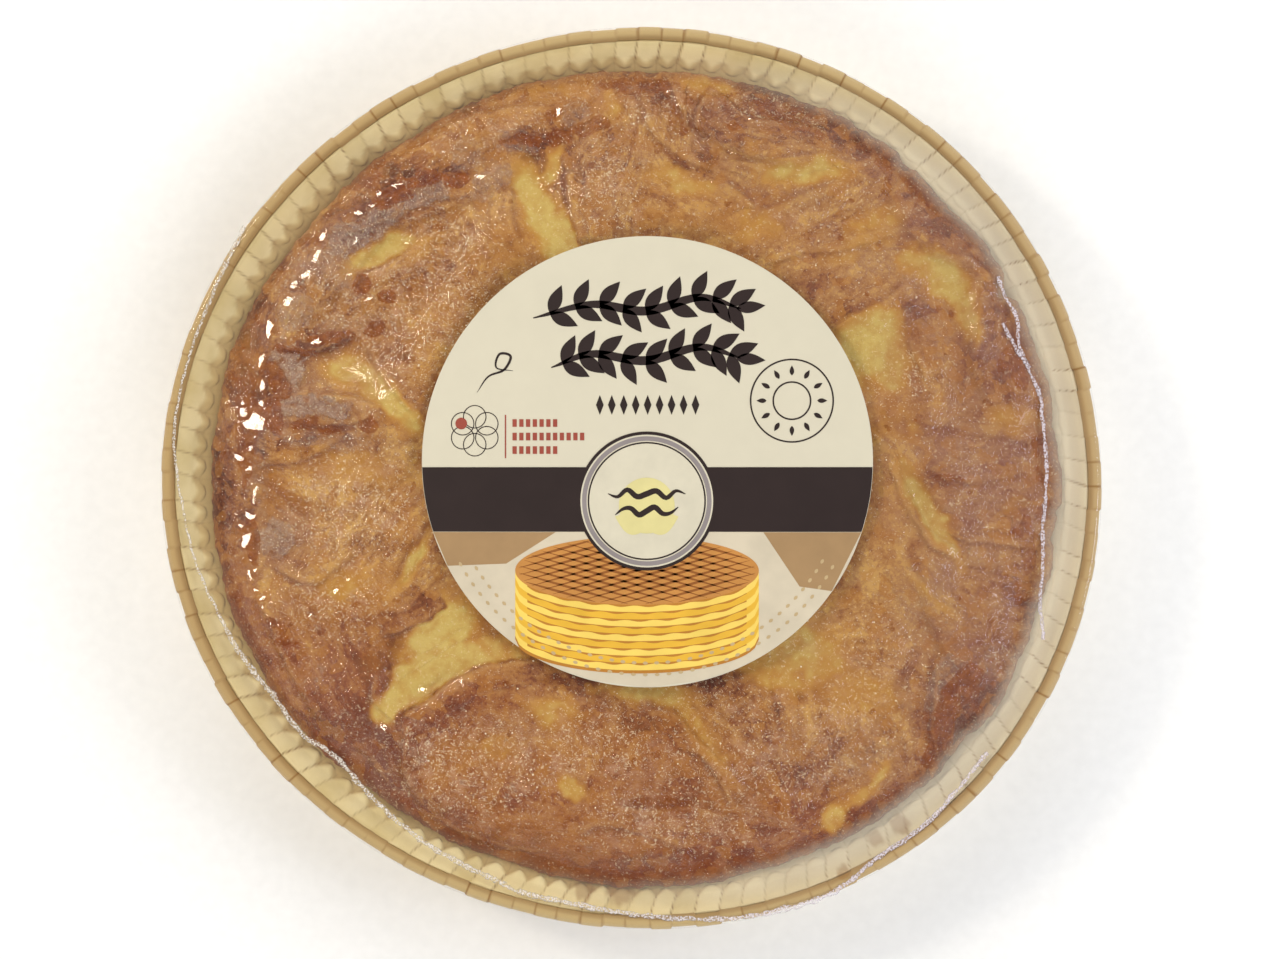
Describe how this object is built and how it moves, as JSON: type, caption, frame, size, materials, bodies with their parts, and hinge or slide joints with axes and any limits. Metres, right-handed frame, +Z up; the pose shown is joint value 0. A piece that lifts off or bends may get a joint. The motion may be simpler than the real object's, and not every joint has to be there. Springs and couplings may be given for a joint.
{
  "type": "packed round pastry",
  "caption": "Flat round butter pastry of folded dough in a pleated paper baking case, shrunk in clear film with a round paper label.",
  "frame": {"origin": "under the middle of the rim, at the height of the case's flat base", "axes": "+Z up through the label, +X along the longer axis of the slightly oval case, +Y across it towards the top of the label"},
  "size_m": [0.2119, 0.203, 0.0336],
  "materials": {
    "baked_dough": "caramelised, buttery crust",
    "case_paper": "pleated greaseproof paper",
    "clear_film": "clear, glossy",
    "label_paper": "satin coated"
  },
  "bodies": {
    "root": {"cake": "baked_dough", "paper_case": "case_paper", "film": "clear_film", "label": "label_paper"}
  },
  "joints": []
}
